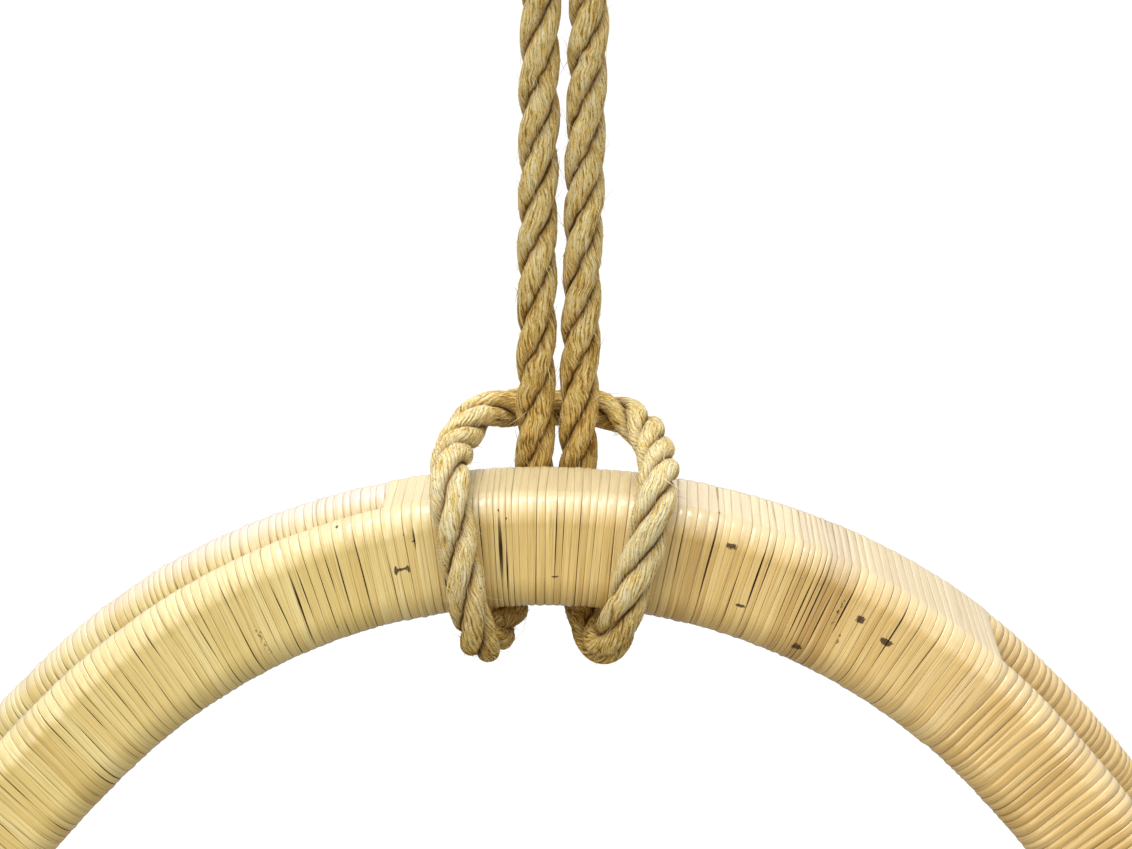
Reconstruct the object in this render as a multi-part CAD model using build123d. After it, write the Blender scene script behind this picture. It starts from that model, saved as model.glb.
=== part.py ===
from build123d import *
from math import cos, pi, radians, sin, tan
import os

# Hanging chair frame: two bent-pole hoops bound side by side with split cane, slung on one
# hitched rope from a ceiling swivel. Millimetres, +Z up, +X to the sitter's left when seen from
# the front, +Y to the back. The origin is the centre of the ceiling plate's mounting face.

# ---- ceiling swivel ----
PLATE_D, PLATE_T = 90.0, 6.0
SCREW_HOLE_R, SCREW_PCD = 3.25, 64.0
HOUSING_R, HOUSING_H, HOUSING_FLOOR = 21.0, 30.0, 7.0
CAVITY_R = 15.0
STEM_R, RUNNING_FIT = 6.0, 0.06
NUT_R, NUT_H = 11.5, 9.0
WASHER_T = 4.0
MOVING_GAP = 0.4            # between parts of different bodies that bear on each other
BAR_R = 5.0                 # round bar of the eye and of the snap hook
EYE_R = 16.0                # to the middle of the eye's bar
EYE_SHOULDER_R, EYE_SHOULDER_H = 10.0, 7.0

# ---- snap hook ----
HOOK_R = 20.0               # to the middle of the bar, at both bows
HOOK_STRAIGHT = 46.0
GATE_R = 4.0
GATE_PIN_R = 1.5
GATE_TONGUE, TONGUE_FIT = 3.6, 0.4
FORK_R, FORK_DROP = 4.6, 4.2            # the gate's forked foot, and how far it goes below the pin
PIN_RISE = 7.0                          # of the pin above the lower bow's end
NOSE_LEN, NOSE_GAP = 7.0, 0.7

# ---- rope and what is on it ----
ROPE_R = 10.0
THIMBLE_R = 30.0            # to the middle of the rope that goes round it
THIMBLE_T = 2.3
THIMBLE_FIT = 0.2
ROPE_DROP = 375.0           # from the thimble's centre down to the crown's top
SEIZING_LOW, SEIZING_HIGH = 272.0, 312.0   # above the crown's top
SEIZING_T = 3.2

# ---- hoops: every hoop is an egg of tangent arcs in its own leaning plane ----
POLE_R = 13.25
POLE_GAP = 0.3              # between the two stacked poles of a hoop
CANE_T = 1.2
CANE_FIT = 0.15
CROWN_R, SIDE_R = 318.0, 650.0
CROWN_TURN, SIDE_TURN = 45.0, 120.0        # headings where one arc hands over to the next
FRONT_LEAN, REAR_LEAN = 10.7, 14.3
FRONT_Y, REAR_Y = -58.2, -29.0             # of each hoop's plane at the crown's top

# ---- crown binding: one cane wrap over both hoops ----
BINDING_LEFT, BINDING_RIGHT = -14.4, 40.0  # headings of its two ends
BINDING_GAP = 0.7
END_GAP = 1.2               # heading between the binding's end and the hoop's own wrap

# ---- seat and back rods ----
STAVE_R, STAVE_COUNT, STAVE_FIRST, STAVE_LAST = 8.0, 13, 112.0, 248.0
RAIL_R, SPINDLE_R, SPINDLE_COUNT, SPINDLE_PITCH = 10.0, 6.0, 9, 46.0
RAIL_DEPTHS = (430.0, 610.0, 790.0, 960.0)  # along the rear hoop's plane, from the crown's top
RAIL_OVERHANG = 22.0
NAIL_R, NAIL_HEAD_R, NAIL_HEAD_T = 1.6, 3.4, 1.2

POLE_OFFSET = POLE_R + POLE_GAP / 2        # of each pole from the hoop's middle line
WRAP_HALF = POLE_R + CANE_FIT + CANE_T     # half the hoop's thickness, over the cane
HOOP_TOP = POLE_OFFSET + WRAP_HALF         # from the hoop's middle line to its outer face
SEAT_R = SIDE_R - (SIDE_R - CROWN_R) * sin(radians(CROWN_TURN)) / sin(radians(SIDE_TURN))

# ---- heights down the hanging line ----
HOUSING_BOTTOM = -PLATE_T - HOUSING_H
CAVITY_FLOOR = HOUSING_BOTTOM + HOUSING_FLOOR
SHOULDER_TOP = HOUSING_BOTTOM - MOVING_GAP
EYE_CENTRE_Z = SHOULDER_TOP - EYE_SHOULDER_H - EYE_R - BAR_R + 1.5
EYE_BAR_Z = EYE_CENTRE_Z - EYE_R
HOOK_TOP_Z = EYE_BAR_Z + 2 * BAR_R + MOVING_GAP
HOOK_BOTTOM_Z = HOOK_TOP_Z - HOOK_STRAIGHT - 2 * HOOK_R
THIMBLE_HOLE_R = THIMBLE_R - ROPE_R - THIMBLE_FIT - THIMBLE_T
THIMBLE_Z = HOOK_BOTTOM_Z - (THIMBLE_HOLE_R - BAR_R - MOVING_GAP)
CROWN_Z = THIMBLE_Z - ROPE_DROP

GUARD = 0.01                # heading allowed past an arc's end
os.makedirs("parts", exist_ok=True)


def save(name, shape):
    """One node, as one solid or as a group of separate solids."""
    solids = list(shape.solids())
    shape = solids[0] if len(solids) == 1 else Compound(children=solids)
    shape.label = name
    export_step(shape, f"parts/{name}.step")


def cylinder(radius, start, end):
    """A round rod from one point to another."""
    start, end = Vector(*start), Vector(*end)
    plane = Plane(origin=start, z_dir=(end - start).normalized())
    return extrude(plane * Circle(radius), (end - start).length)


def bar_sweep(path, radius):
    """A round bar that follows a wire from its first point."""
    return sweep(Plane(origin=path @ 0, z_dir=path % 0) * Circle(radius), path=path)


# ---------------------------------------------------------------- ceiling swivel
def ceiling_plate():
    plate = Cylinder(PLATE_D / 2, PLATE_T, align=(Align.CENTER, Align.CENTER, Align.MAX))
    holes = PolarLocations(SCREW_PCD / 2, 4, start_angle=45)
    plate -= holes * Cylinder(SCREW_HOLE_R, 2 * PLATE_T)
    rim = plate.edges().filter_by(GeomType.CIRCLE).filter_by(lambda e: e.radius > PLATE_D / 2 - 1)
    return chamfer(rim.sort_by(Axis.Z)[0], 1.5)


def swivel_housing():
    top = Pos(0, 0, -PLATE_T)
    cup = top * Cylinder(HOUSING_R, HOUSING_H, align=(Align.CENTER, Align.CENTER, Align.MAX))
    low = cup.edges().filter_by(GeomType.CIRCLE).sort_by(Axis.Z)[0]
    cup = fillet(low, 3)
    cavity_h = HOUSING_H - HOUSING_FLOOR
    cup -= top * Cylinder(CAVITY_R, cavity_h, align=(Align.CENTER, Align.CENTER, Align.MAX))
    return cup - Pos(0, 0, CAVITY_FLOOR) * Cylinder(STEM_R + RUNNING_FIT, 4 * HOUSING_FLOOR)


def ring_solid(inner, outer, low, high):
    height = high - low
    disc = Cylinder(outer, height) - Cylinder(inner, height)
    return Pos(0, 0, (low + high) / 2) * disc


def swivel_eye():
    shoulder_low = SHOULDER_TOP - EYE_SHOULDER_H
    stem_top = CAVITY_FLOOR + WASHER_T + MOVING_GAP + NUT_H + 2
    stem = cylinder(STEM_R, (0, 0, shoulder_low), (0, 0, stem_top))
    shoulder = cylinder(EYE_SHOULDER_R, (0, 0, shoulder_low - 2), (0, 0, SHOULDER_TOP))
    eye = Pos(0, 0, EYE_CENTRE_Z) * Rot(90, 0, 0) * Torus(EYE_R, BAR_R)
    return stem + shoulder + eye


def swivel_nut():
    low = CAVITY_FLOOR + WASHER_T + MOVING_GAP
    nut = extrude(Plane.XY.offset(low) * RegularPolygon(NUT_R, 6), NUT_H)
    return nut - cylinder(STEM_R, (0, 0, low - 1), (0, 0, low + NUT_H + 1))


# ---------------------------------------------------------------- snap hook, in the Y-Z plane
HOOK_LOW_BOW_Z = HOOK_BOTTOM_Z + HOOK_R
HOOK_HIGH_BOW_Z = HOOK_TOP_Z - HOOK_R
GATE_PIN_Z = HOOK_LOW_BOW_Z + PIN_RISE
NOSE_Z = HOOK_HIGH_BOW_Z - NOSE_LEN
TONGUE_RISE, SLOT_RISE = 4.0, 5.6       # above the pin


def hook_body():
    centre_low, centre_high = (0, 0, HOOK_LOW_BOW_Z), (0, 0, HOOK_HIGH_BOW_Z)
    side = Plane(origin=centre_low, x_dir=(0, 1, 0), z_dir=(1, 0, 0))
    top_side = Plane(origin=centre_high, x_dir=(0, 1, 0), z_dir=(1, 0, 0))
    low_bow = side * CenterArc((0, 0), HOOK_R, 0, -180)
    high_bow = top_side * CenterArc((0, 0), HOOK_R, 180, -180)
    spine = Line((0, -HOOK_R, HOOK_LOW_BOW_Z), (0, -HOOK_R, HOOK_HIGH_BOW_Z))
    nose = Line((0, HOOK_R, HOOK_HIGH_BOW_Z), (0, HOOK_R, NOSE_Z))
    body = bar_sweep(Wire([low_bow.edge(), spine.edge(), high_bow.edge(), nose.edge()]), BAR_R)
    tongue_low, tongue_high = HOOK_LOW_BOW_Z - BAR_R / 2, GATE_PIN_Z + TONGUE_RISE
    tongue = Box(GATE_TONGUE, 1.4 * BAR_R, tongue_high - tongue_low)
    body += Pos(0, HOOK_R, (tongue_low + tongue_high) / 2) * tongue
    return body - cylinder(GATE_PIN_R, (-BAR_R, HOOK_R, GATE_PIN_Z), (BAR_R, HOOK_R, GATE_PIN_Z))


def hook_gate():
    low, shoulder, slot_top = GATE_PIN_Z - FORK_DROP, GATE_PIN_Z + 2 * FORK_DROP, GATE_PIN_Z + SLOT_RISE
    gate = cylinder(FORK_R, (0, HOOK_R, low), (0, HOOK_R, shoulder))
    gate += cylinder(GATE_R, (0, HOOK_R, shoulder - 1), (0, HOOK_R, NOSE_Z - NOSE_GAP))
    slot = Box(GATE_TONGUE + 2 * TONGUE_FIT, 3 * FORK_R, 2 * (slot_top - low))
    gate -= Pos(0, HOOK_R, low) * slot
    pin_bore = GATE_PIN_R + RUNNING_FIT
    return gate - cylinder(pin_bore, (-9, HOOK_R, GATE_PIN_Z), (9, HOOK_R, GATE_PIN_Z))


def gate_pin():
    reach = FORK_R - 0.2
    return cylinder(GATE_PIN_R, (-reach, HOOK_R, GATE_PIN_Z), (reach, HOOK_R, GATE_PIN_Z))


# ---------------------------------------------------------------- thimble, rope, seizing
def thimble():
    """A round ring whose grooved outside holds the rope."""
    inner, outer = ROPE_R + THIMBLE_FIT, ROPE_R + THIMBLE_FIT + THIMBLE_T
    spread = 78.0
    section = Sketch() + Circle(outer) - Circle(inner)
    keep = Polygon(*[(3 * outer * cos(radians(a)), 3 * outer * sin(radians(a)))
                     for a in (180 - spread, 150, 180, 210, 180 + spread)], (0, 0), align=None)
    section = section & keep
    at = Plane(origin=(THIMBLE_R, 0, THIMBLE_Z), x_dir=(1, 0, 0), z_dir=(0, 0, 1))
    return revolve(at * section, Axis((0, 0, THIMBLE_Z), (0, 1, 0)), 360)


# The rope's route, from the crown's top: down the left standing part, round the frame, across
# behind the standing parts, round the frame again, up, and round the thimble to the seizing.
HITCH_LEFT = [
    (-10.7, 0.2, -11), (-12, 7.8, -42), (-14.5, 1.5, -58), (-18.5, -13, -68), (-24.5, -38, -72.5),
    (-30, -63, -77.5), (-36, -86, -69.5), (-41, -95, -47), (-46, -90, -20), (-50, -84, 0),
    (-51.5, -69, 10.5), (-51.5, -41, 11.5), (-48, -12, 14), (-38, 12, 19), (-21, 22.4, 19.6),
]
HITCH_RIGHT = [
    (21, 22.4, 19.2), (36, 14, 17.8), (47, -9, 14), (50, -41, 11), (50.5, -69, 10.5),
    (47.5, -84, -0.5), (42.5, -90, -21), (35, -95, -45), (28.5, -87, -68), (22, -64, -77.5),
    (17, -39, -72.5), (13.5, -13, -68), (12.3, 1.5, -58), (11, 7.8, -42), (10.7, 0.2, -11),
]
SEIZED_X = 12.2
ROPE_START, ROPE_END = 295.0, 298.0


def thimble_corners():
    """The corners of the route round the thimble, from its right side to its left."""
    step, first = 48.0, -6.0
    reach = THIMBLE_R / cos(radians(step / 2))
    angles = [radians(first + step * i) for i in range(5)]
    corners = [(reach * cos(a), 0, ROPE_DROP + reach * sin(a)) for a in angles]
    fork = (SEIZED_X + 0.1, 0, 336.3)
    return [fork, *corners, (-fork[0], 0, fork[2])]


def rope_route():
    start, end = (-SEIZED_X, 0, ROPE_START), (-SEIZED_X, 0, ROPE_END)
    route = [start, *HITCH_LEFT, *HITCH_RIGHT, *thimble_corners(), end]
    return [Vector(x, y, z + CROWN_Z) for x, y, z in route]


def arc_radii(points):
    """The largest arc at each corner that its two runs leave room for."""
    radii = []
    for before, corner, after in zip(points, points[1:], points[2:]):
        turn = (corner - before).get_angle(after - corner)
        shorter = min((corner - before).length, (after - corner).length)
        radii.append(0.45 * shorter / tan(radians(turn / 2)))
    return radii


def rope():
    points = rope_route()
    radii = arc_radii(points)
    path = FilletPolyline(*points, radius=radii)
    tube = bar_sweep(path, ROPE_R)
    section = pi * ROPE_R**2 * path.length
    print("rope length %.1f, volume over section times length %.4f" % (path.length, tube.volume / section))
    print("rope arc radii:", " ".join("%.0f" % r for r in radii))
    return tube


def seizing():
    height = SEIZING_HIGH - SEIZING_LOW
    inner = 2 * ROPE_R + 2 * THIMBLE_FIT
    ring = SlotCenterToCenter(2 * SEIZED_X + 0.2, inner + 2 * SEIZING_T) \
        - SlotCenterToCenter(2 * SEIZED_X + 0.2, inner)
    return Pos(0, 0, CROWN_Z + SEIZING_LOW) * extrude(ring, height)


# ---------------------------------------------------------------- hoops
def hoop_plane(y, lean):
    """The plane of a hoop: its own X is right, its own Y runs up to the crown's top."""
    tilt = radians(lean)
    return Plane(origin=(0, y, CROWN_Z), x_dir=(1, 0, 0), z_dir=(0, -cos(tilt), sin(tilt)))


FRONT, REAR = hoop_plane(FRONT_Y, FRONT_LEAN), hoop_plane(REAR_Y, -REAR_LEAN)


def toward(heading):
    """A unit step in a hoop's plane."""
    return Vector(sin(radians(heading)), cos(radians(heading)))


def hoop_arcs():
    """Centre, radius, first and last heading of each arc of the hoop's middle line."""
    crown = Vector(0, -(CROWN_R + HOOP_TOP))
    right = crown + toward(CROWN_TURN) * (CROWN_R - SIDE_R)
    seat = right + toward(SIDE_TURN) * (SIDE_R - SEAT_R)
    left = Vector(-right.X, right.Y)
    return [(crown, CROWN_R, -CROWN_TURN, CROWN_TURN), (right, SIDE_R, CROWN_TURN, SIDE_TURN),
            (seat, SEAT_R, SIDE_TURN, 360 - SIDE_TURN), (left, SIDE_R, 360 - SIDE_TURN, 360 - CROWN_TURN)]


ARCS = hoop_arcs()


def hoop_point(heading, outward=0.0):
    """A point of the hoop's plane, at a heading from its top, outside the middle line by outward."""
    heading = (heading + CROWN_TURN) % 360 - CROWN_TURN
    for centre, radius, first, last in ARCS:
        if first - GUARD <= heading <= last + GUARD:
            return centre + toward(heading) * (radius + outward)


def half_width(depth, outward=0.0):
    """Half the width of the hoop at a depth below its top, for a line outside the middle line."""
    low, high = 0.0, 180.0
    for _ in range(40):
        middle = (low + high) / 2
        if -hoop_point(middle, outward).Y < depth:
            low = middle
        else:
            high = middle
    return hoop_point(low, outward).X


def bent(section, outward, spans):
    """A section carried along the hoop's arcs, over the given spans of heading, as one solid."""
    pieces = []
    for (centre, radius, _, _), (first, last) in spans:
        radial = toward(first)
        start = centre + radial * (radius + outward)
        profile = Plane(origin=start, x_dir=radial, z_dir=radial.cross(Vector(0, 0, 1))) * section
        pieces.append(revolve(profile, Axis(centre, (0, 0, -1)), last - first))
    solid = pieces[0]
    for piece in pieces[1:]:
        solid += piece
    return solid


def pole(outward):
    """One bent pole, its ends scarfed together at the side."""
    return bent(Circle(POLE_R), outward, [(arc, arc[2:]) for arc in ARCS])


def hoop_wrap(first, last):
    """The cane skin over a hoop's two poles, from the binding's right end round to its left end."""
    inner, span = 2 * (POLE_R + CANE_FIT), 2 * POLE_OFFSET
    skin = SlotCenterToCenter(span, inner + 2 * CANE_T) - SlotCenterToCenter(span, inner)
    crown, right, seat, left = ARCS
    return bent(skin, 0.0, [(crown, (first, CROWN_TURN)), (right, right[2:]), (seat, seat[2:]),
                            (left, left[2:]), (crown, (-CROWN_TURN, last))])


# ---------------------------------------------------------------- crown binding and packing
def crown_sections(cover):
    """Outlines round both hoops at several headings, each a hull of four pole circles."""
    faces = []
    steps = 10
    centre_z = CROWN_Z - CROWN_R - HOOP_TOP
    for i in range(steps + 1):
        heading = BINDING_LEFT + (BINDING_RIGHT - BINDING_LEFT) * i / steps
        radial = Vector(sin(radians(heading)), 0, cos(radians(heading)))
        plane = Plane(origin=(0, 0, centre_z), x_dir=(0, 1, 0), z_dir=radial.cross(Vector(0, -1, 0)))
        corners = []
        for hoop, outward in ((FRONT, POLE_OFFSET), (REAR, POLE_OFFSET), (REAR, -POLE_OFFSET),
                              (FRONT, -POLE_OFFSET)):
            flat = hoop_point(heading, outward)
            local = plane.to_local_coords(hoop.from_local_coords(Vector(flat.X, flat.Y, 0)))
            corners.append((local.X, local.Y))
        outline = offset(Polygon(*corners, align=None), amount=cover, kind=Kind.ARC)
        faces.append(plane * outline)
    return faces


def crown_binding():
    inner = POLE_R + BINDING_GAP
    return loft(crown_sections(inner + CANE_T)) - loft(crown_sections(inner))


def crown_packing():
    """The wedge of split cane between the hoops, under the binding."""
    clear = POLE_R + BINDING_GAP
    first, last = BINDING_LEFT + 1, BINDING_RIGHT - 1
    radial = Vector(sin(radians(first)), 0, cos(radians(first)))
    middle = (FRONT_Y + REAR_Y) / 2
    centre = Vector(0, middle, CROWN_Z - CROWN_R - HOOP_TOP)
    across = Plane(origin=centre + radial * CROWN_R, x_dir=radial, z_dir=radial.cross(Vector(0, -1, 0)))
    ring = revolve(across * Rectangle(2 * POLE_OFFSET, 160), Axis(centre, (0, 1, 0)), last - first)
    behind_front = Plane(origin=FRONT.origin - FRONT.z_dir * clear, z_dir=-FRONT.z_dir)
    before_rear = Plane(origin=REAR.origin + REAR.z_dir * clear, z_dir=REAR.z_dir)
    wedge = split(ring, bisect_by=behind_front, keep=Keep.TOP)
    return split(wedge, bisect_by=before_rear, keep=Keep.TOP)


# ---------------------------------------------------------------- seat staves, back and nails
def stave_line(heading):
    """Where a stave's middle line meets the planes of the two hoops."""
    flat = hoop_point(heading)
    return [hoop.from_local_coords(Vector(flat.X, flat.Y, 0)) for hoop in (FRONT, REAR)]


def stave(heading):
    """A straight rod between the inner faces of the two hoops."""
    front, rear = stave_line(heading)
    along = (rear - front).normalized()
    rod = cylinder(STAVE_R, front, rear)
    behind_front = Plane(origin=FRONT.origin - FRONT.z_dir * WRAP_HALF, z_dir=-FRONT.z_dir)
    before_rear = Plane(origin=REAR.origin + REAR.z_dir * WRAP_HALF, z_dir=REAR.z_dir)
    rod = split(rod, bisect_by=behind_front, keep=Keep.TOP)
    return split(rod, bisect_by=before_rear, keep=Keep.TOP)


def nail(head, along, length):
    """A round nail: its head stands on the surface at head, its shank goes along."""
    head, along = Vector(*head), Vector(*along).normalized()
    shank = cylinder(NAIL_R, head, head + along * length)
    return shank + cylinder(NAIL_HEAD_R, head - along * NAIL_HEAD_T, head)


def back_rail(depth):
    """A straight rail across the back face of the rear hoop."""
    reach = half_width(depth) + RAIL_OVERHANG
    behind = -(WRAP_HALF + RAIL_R)
    ends = [REAR.from_local_coords(Vector(x, -depth, behind)) for x in (-reach, reach)]
    return cylinder(RAIL_R, *ends)


def back_spindle(x):
    """An upright rod that lies on the front of the rails, inside the rear hoop."""
    behind = -(WRAP_HALF - SPINDLE_R)
    top, low = RAIL_DEPTHS[0] - 26.0, RAIL_DEPTHS[-1] + 26.0
    ends = [REAR.from_local_coords(Vector(x, -depth, behind)) for depth in (low, top)]
    return cylinder(SPINDLE_R, *ends)


STAVE_PITCH = (STAVE_LAST - STAVE_FIRST) / (STAVE_COUNT - 1)
STAVE_HEADINGS = [STAVE_FIRST + STAVE_PITCH * i for i in range(STAVE_COUNT)]
SPINDLE_X = [SPINDLE_PITCH * (i - (SPINDLE_COUNT - 1) / 2) for i in range(SPINDLE_COUNT)]


def stave_nails():
    """One nail through each hoop into each end of every stave."""
    nails = []
    for heading in STAVE_HEADINGS:
        front, rear = stave_line(heading)
        nails.append(nail(front + FRONT.z_dir * WRAP_HALF, -FRONT.z_dir, 2 * WRAP_HALF + 25))
        nails.append(nail(rear - REAR.z_dir * WRAP_HALF, REAR.z_dir, 2 * WRAP_HALF + 25))
    return Compound(children=nails)


def rail_nails():
    """Two nails through each rail into the rear hoop's poles, one at each side."""
    nails = []
    for depth in RAIL_DEPTHS:
        for side in (-1, 1):
            x = side * half_width(depth, POLE_OFFSET)
            head = REAR.from_local_coords(Vector(x, -depth, -(WRAP_HALF + 2 * RAIL_R)))
            nails.append(nail(head, REAR.z_dir, 2 * RAIL_R + POLE_R))
    return Compound(children=nails)


def spindle_nails():
    """One nail through each spindle into every rail it crosses."""
    nails = []
    for depth in RAIL_DEPTHS:
        for x in SPINDLE_X:
            head = REAR.from_local_coords(Vector(x, -depth, 2 * SPINDLE_R - WRAP_HALF))
            nails.append(nail(head, -REAR.z_dir, 2 * SPINDLE_R + RAIL_R))
    return Compound(children=nails)


# ---------------------------------------------------------------- the parts
save("ceiling_plate", ceiling_plate())
save("swivel_housing", swivel_housing())
save("thrust_washer", ring_solid(STEM_R + 0.5, CAVITY_R - 0.5, CAVITY_FLOOR, CAVITY_FLOOR + WASHER_T))
save("swivel_eye", swivel_eye())
save("swivel_nut", swivel_nut())
save("snap_hook", hook_body())
save("snap_hook_gate", hook_gate())
save("gate_pin", gate_pin())
save("rope_thimble", thimble())
save("suspension_rope", rope())
save("rope_seizing", seizing())
save("crown_binding", crown_binding())
save("crown_packing", crown_packing())
for side, plane in (("front", FRONT), ("rear", REAR)):
    save(f"{side}_outer_pole", plane * pole(POLE_OFFSET))
    save(f"{side}_inner_pole", plane * pole(-POLE_OFFSET))
    save(f"{side}_hoop_wrap", plane * hoop_wrap(BINDING_RIGHT + END_GAP, BINDING_LEFT - END_GAP))
for number, heading in enumerate(STAVE_HEADINGS, 1):
    save(f"seat_stave_{number:02d}", stave(heading))
for number, depth in enumerate(RAIL_DEPTHS, 1):
    save(f"back_rail_{number}", back_rail(depth))
for number, x in enumerate(SPINDLE_X, 1):
    save(f"back_spindle_{number}", back_spindle(x))
save("stave_nails", stave_nails())
save("rail_nails", rail_nails())
save("spindle_nails", spindle_nails())
print("crown top at z %.1f, eye bar %.1f, hook bottom %.1f, thimble %.1f"
      % (CROWN_Z, EYE_BAR_Z, HOOK_BOTTOM_Z, THIMBLE_Z))
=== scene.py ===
"""A cane-wrapped double-hoop hanging chair on one hitched rope, with its swivel and snap hook."""
import math

import bpy
import numpy as np
from mathutils import Matrix, Vector


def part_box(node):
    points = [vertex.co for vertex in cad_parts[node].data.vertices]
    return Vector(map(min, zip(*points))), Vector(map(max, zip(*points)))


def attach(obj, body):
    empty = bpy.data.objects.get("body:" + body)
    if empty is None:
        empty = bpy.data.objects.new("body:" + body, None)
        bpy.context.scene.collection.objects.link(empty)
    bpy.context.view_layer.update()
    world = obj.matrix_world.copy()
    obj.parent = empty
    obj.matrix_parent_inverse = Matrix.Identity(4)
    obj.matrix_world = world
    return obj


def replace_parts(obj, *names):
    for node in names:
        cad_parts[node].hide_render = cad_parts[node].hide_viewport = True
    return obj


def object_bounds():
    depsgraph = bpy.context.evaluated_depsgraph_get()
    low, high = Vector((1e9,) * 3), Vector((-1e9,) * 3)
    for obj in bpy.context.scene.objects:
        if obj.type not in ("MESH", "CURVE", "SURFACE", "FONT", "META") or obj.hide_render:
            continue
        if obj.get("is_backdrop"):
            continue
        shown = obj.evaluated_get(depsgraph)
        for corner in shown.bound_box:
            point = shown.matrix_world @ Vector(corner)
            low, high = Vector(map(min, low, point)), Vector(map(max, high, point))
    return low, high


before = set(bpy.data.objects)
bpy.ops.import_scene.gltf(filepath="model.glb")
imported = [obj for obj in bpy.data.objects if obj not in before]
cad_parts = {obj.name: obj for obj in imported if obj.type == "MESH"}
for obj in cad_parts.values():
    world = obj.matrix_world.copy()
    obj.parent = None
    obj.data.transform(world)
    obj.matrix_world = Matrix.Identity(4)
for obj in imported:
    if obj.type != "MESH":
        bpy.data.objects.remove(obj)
CAD_LOW, CAD_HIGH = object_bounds()
rng = np.random.default_rng(7)

# ---------------------------------------------------------------- dimensions, in metres
MM = 0.001
POLE_OFFSET = 13.4 * MM                         # how far each pole is off its hoop's middle line
CANE_FACE = 14.6 * MM                           # from a pole's centre to the face of the cane on a hoop
BINDING_FACE = 15.15 * MM                       # the same, to the face of the crown's binding
HOOP_TOP = 28.0 * MM                            # from the middle line to the hoop's outer face
CROWN_R, SIDE_R, CROWN_TURN, SIDE_TURN = 318 * MM, 650 * MM, 45.0, 120.0
SEAT_R = SIDE_R - (SIDE_R - CROWN_R) * math.sin(math.radians(CROWN_TURN)) / math.sin(math.radians(SIDE_TURN))
FRONT_Y, REAR_Y, FRONT_LEAN, REAR_LEAN = -58.2 * MM, -29.0 * MM, 10.7, -14.3
BINDING_LEFT, BINDING_RIGHT = -14.4, 40.0       # headings of the binding's ends
SEIZING_LOW = 272 * MM                          # the seizing's foot above the crown's top
CROWN_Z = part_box("rope_seizing")[0][2] - SEIZING_LOW
ROPE_R, ROPE_LAY = 10 * MM, 81 * MM
TWINE_R, TWINE_PITCH, TWINE_LAY = 1.5 * MM, 2.9 * MM, 9 * MM
YARNS = 14                                      # in each strand of the rope
STRIP = 4.85 * MM                               # usual width of one turn of cane
STAVE_R, RAIL_R, SPINDLE_R = 8 * MM, 10 * MM, 6 * MM
STAVE_FIRST, STAVE_LAST = 112, 248              # headings of the first and the last stave
STAVE_INSET = 14.0 * MM                         # from a hoop's plane to the end of a stave


# ---------------------------------------------------------------- mesh helpers
def link(name, mesh, body):
    """A new object in the scene, riding on a CAD body when one is given."""
    piece = bpy.data.objects.new(name, mesh)
    bpy.context.scene.collection.objects.link(piece)
    if body:
        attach(piece, body)
    return piece


def mesh_of(name, points, faces, material, **attributes):
    """A smooth mesh from arrays of points and four-cornered faces, with its own named attributes."""
    mesh = bpy.data.meshes.new(name)
    points = np.asarray(points, dtype=np.float32).reshape(-1, 3)
    faces = np.asarray(faces, dtype=np.int32).reshape(-1, 4)
    mesh.vertices.add(len(points))
    mesh.vertices.foreach_set("co", points.ravel())
    mesh.loops.add(faces.size)
    mesh.polygons.add(len(faces))
    mesh.polygons.foreach_set("loop_start", np.arange(0, faces.size, 4, dtype=np.int32))
    mesh.polygons.foreach_set("loop_total", np.full(len(faces), 4, dtype=np.int32))
    mesh.loops.foreach_set("vertex_index", faces.ravel())
    for key, values in attributes.items():
        values = np.asarray(values, dtype=np.float32)
        if values.ndim and values.shape[-1] == 3 and values.size == points.size:
            mesh.attributes.new(key, "FLOAT_VECTOR", "POINT").data.foreach_set("vector", values.ravel())
        else:
            mesh.attributes.new(key, "FLOAT", "POINT").data.foreach_set("value", values.ravel())
    mesh.update(calc_edges=True)
    mesh.validate()
    mesh.polygons.foreach_set("use_smooth", np.ones(len(mesh.polygons), dtype=bool))
    mesh.materials.append(material)
    return mesh


def grid_faces(rows, columns):
    """Faces of a grid of points whose columns close into rings."""
    row = np.arange(rows - 1)[:, None] * columns
    here = np.arange(columns)[None, :]
    beside = (here + 1) % columns
    corners = [row + here, row + beside, row + columns + beside, row + columns + here]
    return np.stack(corners, -1).reshape(-1, 4)


def wave(s, longest, shortest, count=6, seed=0):
    """A smooth wandering value in about -1 to 1 along s, its own for each seed."""
    own = np.random.default_rng(1000 + seed)
    lengths = longest * (shortest / longest) ** own.random(count)
    turns = own.random(count) * 2 * math.pi
    s = np.asarray(s)[..., None]
    return np.sin(2 * math.pi * s / lengths + turns).sum(-1) / math.sqrt(count)


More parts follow.
